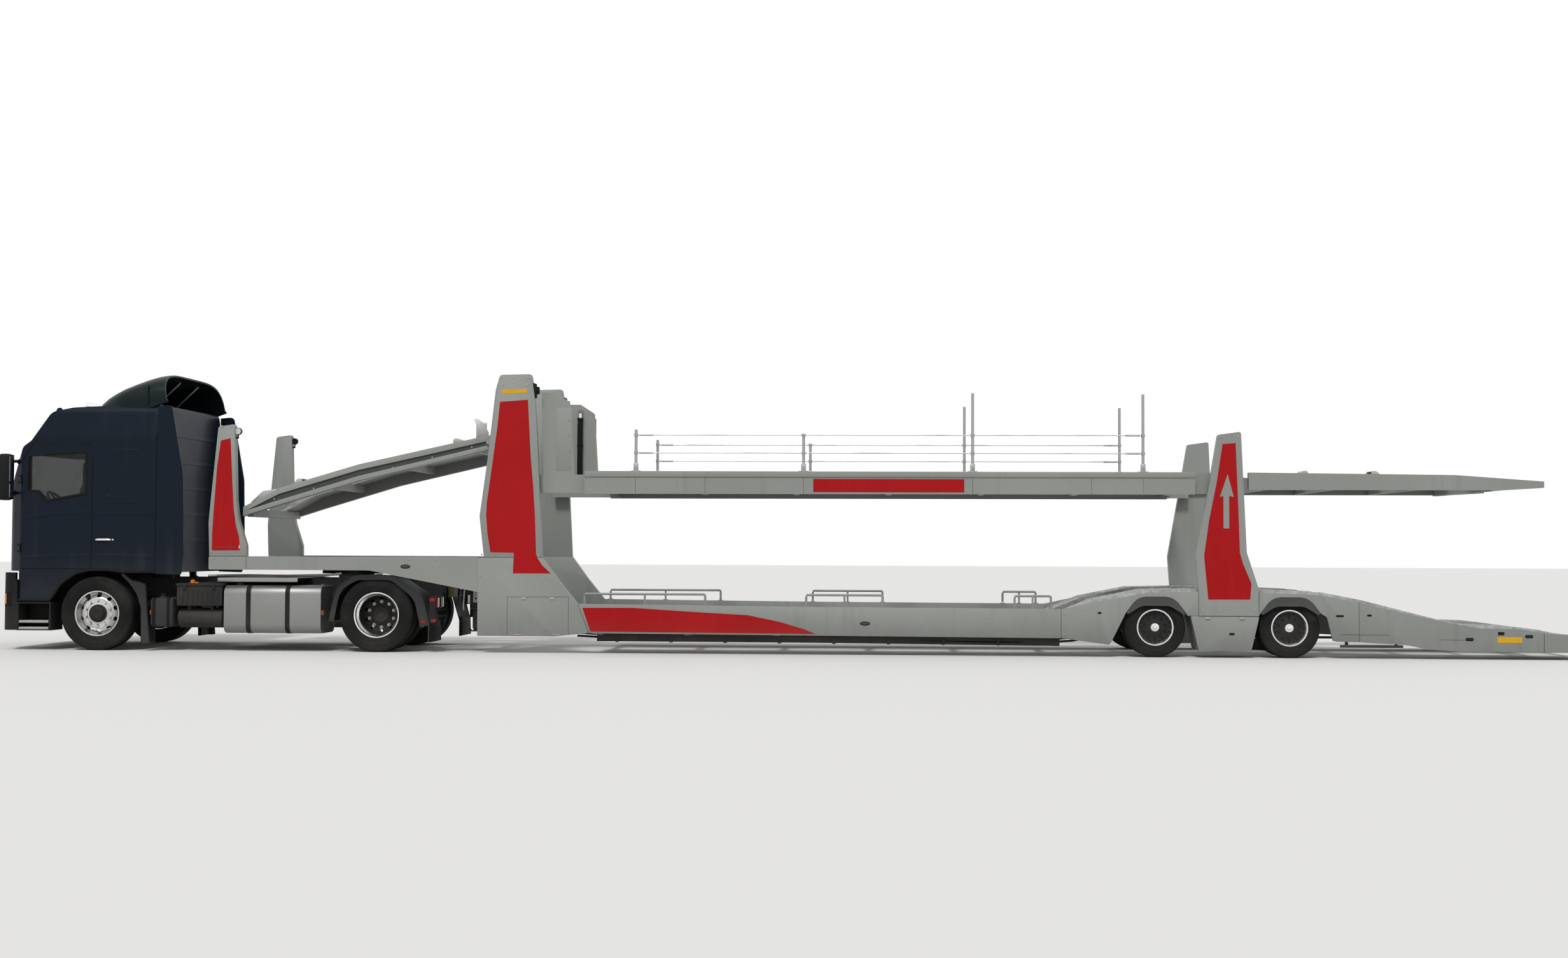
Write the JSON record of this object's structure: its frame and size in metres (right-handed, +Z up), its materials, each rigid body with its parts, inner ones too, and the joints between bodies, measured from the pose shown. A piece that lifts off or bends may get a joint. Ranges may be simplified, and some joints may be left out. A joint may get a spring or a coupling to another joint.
{
  "type": "articulated car transporter truck",
  "caption": "Sleeper-cab tractor unit with a hinged two-deck car-carrying semi-trailer; moving decks, tilting cab, opening doors, steered front wheels.",
  "frame": {"origin": "middle of the outline on the ground, under the whole vehicle", "axes": "+X to the rear, +Y to the vehicle's right-hand side, +Z up; the front bumper is at -X"},
  "size_m": [20.58, 2.85, 3.6539],
  "materials": {
    "cab_paint": "satin dark blue-grey paint",
    "deflector_paint": "dark green-black moulding",
    "chassis_black": "matt black chassis paint",
    "axle_metal": "dirty dark metal",
    "trailer_paint": "light warm grey paint, red panels",
    "deck_steel": "grey paint with worn walking surface",
    "tyre": "black rubber",
    "rim_steel": "silver rim",
    "alloy": "brushed",
    "plastic_black": "textured black plastic",
    "plastic_grey": "dark grey plastic",
    "glass": "tinted safety glass",
    "lamp_lens": "lamp lens",
    "lamp_red": "red lens",
    "fabric": "dark seat cloth",
    "trim": "dashboard plastic"
  },
  "bodies": {
    "tractor": {"tractor_frame": "chassis_black", "engine_block": "axle_metal", "front_axle": "axle_metal", "drive_axle": "axle_metal", "tractor_suspension": "axle_metal", "fifth_wheel": "axle_metal", "front_bumper": "plastic_black", "tractor_lamps": "lamp_lens", "tractor_mudguards": "plastic_grey", "fuel_tanks": "alloy", "tank_straps": "chassis_black", "side_boxes": "plastic_black", "air_tanks": "chassis_black"},
    "cab": {"cab_shell": "cab_paint", "windscreen": "glass", "cab_side_extenders": "cab_paint", "roof_deflector": "deflector_paint", "mirrors": "plastic_black", "cab_seats": "fabric", "dashboard": "trim"},
    "door_left": {"door_left": "cab_paint", "door_glass_left": "glass"},
    "door_right": {"door_right": "cab_paint", "door_glass_right": "glass"},
    "knuckle_left": {"knuckle_left": "axle_metal"},
    "knuckle_right": {"knuckle_right": "axle_metal"},
    "wheel_front_left": {"tyre_front_left": "tyre", "rim_front_left": "rim_steel"},
    "wheel_front_right": {"tyre_front_right": "tyre", "rim_front_right": "rim_steel"},
    "wheels_drive_left": {"tyres_drive_left": "tyre", "rims_drive_left": "rim_steel"},
    "wheels_drive_right": {"tyres_drive_right": "tyre", "rims_drive_right": "rim_steel"},
    "trailer": {"neck_frame": "trailer_paint", "landing_legs": "chassis_black", "trailer_side_frames": "trailer_paint", "trailer_cross_frames": "trailer_paint", "lower_tracks": "deck_steel", "front_towers": "trailer_paint", "main_towers": "trailer_paint", "rear_towers": "trailer_paint", "trailer_axles": "axle_metal", "trailer_mudguards": "plastic_grey", "guard_rails": "trailer_paint"},
    "deck_front": {"deck_front": "deck_steel"},
    "deck_main": {"deck_main": "deck_steel", "deck_cylinders": "chassis_black", "deck_main_posts": "trailer_paint"},
    "deck_rear": {"deck_rear": "deck_steel"},
    "rear_extension": {"rear_extension": "deck_steel", "trailer_lamps": "lamp_red"},
    "wheels_trailer_1_left": {"tyres_trailer_1_left": "tyre", "rims_trailer_1_left": "rim_steel"},
    "wheels_trailer_1_right": {"tyres_trailer_1_right": "tyre", "rims_trailer_1_right": "rim_steel"},
    "wheels_trailer_2_left": {"tyres_trailer_2_left": "tyre", "rims_trailer_2_left": "rim_steel"},
    "wheels_trailer_2_right": {"tyres_trailer_2_right": "tyre", "rims_trailer_2_right": "rim_steel"}
  },
  "joints": [
    {"name": "cab_tilt", "type": "hinge", "parent": "tractor", "child": "cab", "pos_m": [-10.18, 0, 0.93], "axis": [0, -1, 0], "range_deg": [0, 55]},
    {"name": "door_left_swing", "type": "hinge", "parent": "cab", "child": "door_left", "pos_m": [-9.945, -1.24, 1.8], "axis": [0, 0, -1], "range_deg": [0, 70]},
    {"name": "door_right_swing", "type": "hinge", "parent": "cab", "child": "door_right", "pos_m": [-9.945, 1.24, 1.8], "axis": [0, 0, 1], "range_deg": [0, 70]},
    {"name": "steer_left", "type": "hinge", "parent": "tractor", "child": "knuckle_left", "pos_m": [-8.91, -0.925, 0.48], "axis": [0, 0, 1], "range_deg": [-40, 40]},
    {"name": "steer_right", "type": "hinge", "parent": "tractor", "child": "knuckle_right", "pos_m": [-8.91, 0.925, 0.48], "axis": [0, 0, 1], "range_deg": [-40, 40]},
    {"name": "wheel_front_left_spin", "type": "hinge", "parent": "knuckle_left", "child": "wheel_front_left", "pos_m": [-8.91, -1.0875, 0.48], "axis": [0, -1, 0], "continuous": true},
    {"name": "wheel_front_right_spin", "type": "hinge", "parent": "knuckle_right", "child": "wheel_front_right", "pos_m": [-8.91, 1.0875, 0.48], "axis": [0, -1, 0], "continuous": true},
    {"name": "wheels_drive_left_spin", "type": "hinge", "parent": "tractor", "child": "wheels_drive_left", "pos_m": [-5.22, -0.93, 0.48], "axis": [0, -1, 0], "continuous": true},
    {"name": "wheels_drive_right_spin", "type": "hinge", "parent": "tractor", "child": "wheels_drive_right", "pos_m": [-5.22, 0.93, 0.48], "axis": [0, -1, 0], "continuous": true},
    {"name": "trailer_turn", "type": "hinge", "parent": "tractor", "child": "trailer", "pos_m": [-5.81, 0, 1.048], "axis": [0, 0, 1], "range_deg": [-60, 60]},
    {"name": "wheels_trailer_1_left_spin", "type": "hinge", "parent": "trailer", "child": "wheels_trailer_1_left", "pos_m": [4.795, -1, 0.38], "axis": [0, -1, 0], "continuous": true},
    {"name": "wheels_trailer_1_right_spin", "type": "hinge", "parent": "trailer", "child": "wheels_trailer_1_right", "pos_m": [4.795, 1, 0.38], "axis": [0, -1, 0], "continuous": true},
    {"name": "wheels_trailer_2_left_spin", "type": "hinge", "parent": "trailer", "child": "wheels_trailer_2_left", "pos_m": [6.485, -1, 0.38], "axis": [0, -1, 0], "continuous": true},
    {"name": "wheels_trailer_2_right_spin", "type": "hinge", "parent": "trailer", "child": "wheels_trailer_2_right", "pos_m": [6.485, 1, 0.38], "axis": [0, -1, 0], "continuous": true},
    {"name": "deck_front_tilt", "type": "hinge", "parent": "trailer", "child": "deck_front", "pos_m": [-3.78, 0, 2.73], "axis": [0, 1, 0], "range_deg": [-7, 12]},
    {"name": "deck_main_lift", "type": "slide", "parent": "trailer", "child": "deck_main", "axis": [0, 0, 1], "range_m": [-1.1, 0.1]},
    {"name": "deck_rear_tilt", "type": "hinge", "parent": "trailer", "child": "deck_rear", "pos_m": [6.075, 0, 2.22], "axis": [0, 1, 0], "range_deg": [-3, 15]},
    {"name": "rear_extension_slide", "type": "slide", "parent": "trailer", "child": "rear_extension", "axis": [1, 0, 0], "range_m": [0, 0.7]}
  ],
  "couplings": [
    {"joint": "steer_right", "follows": "steer_left", "ratio": 1}
  ]
}
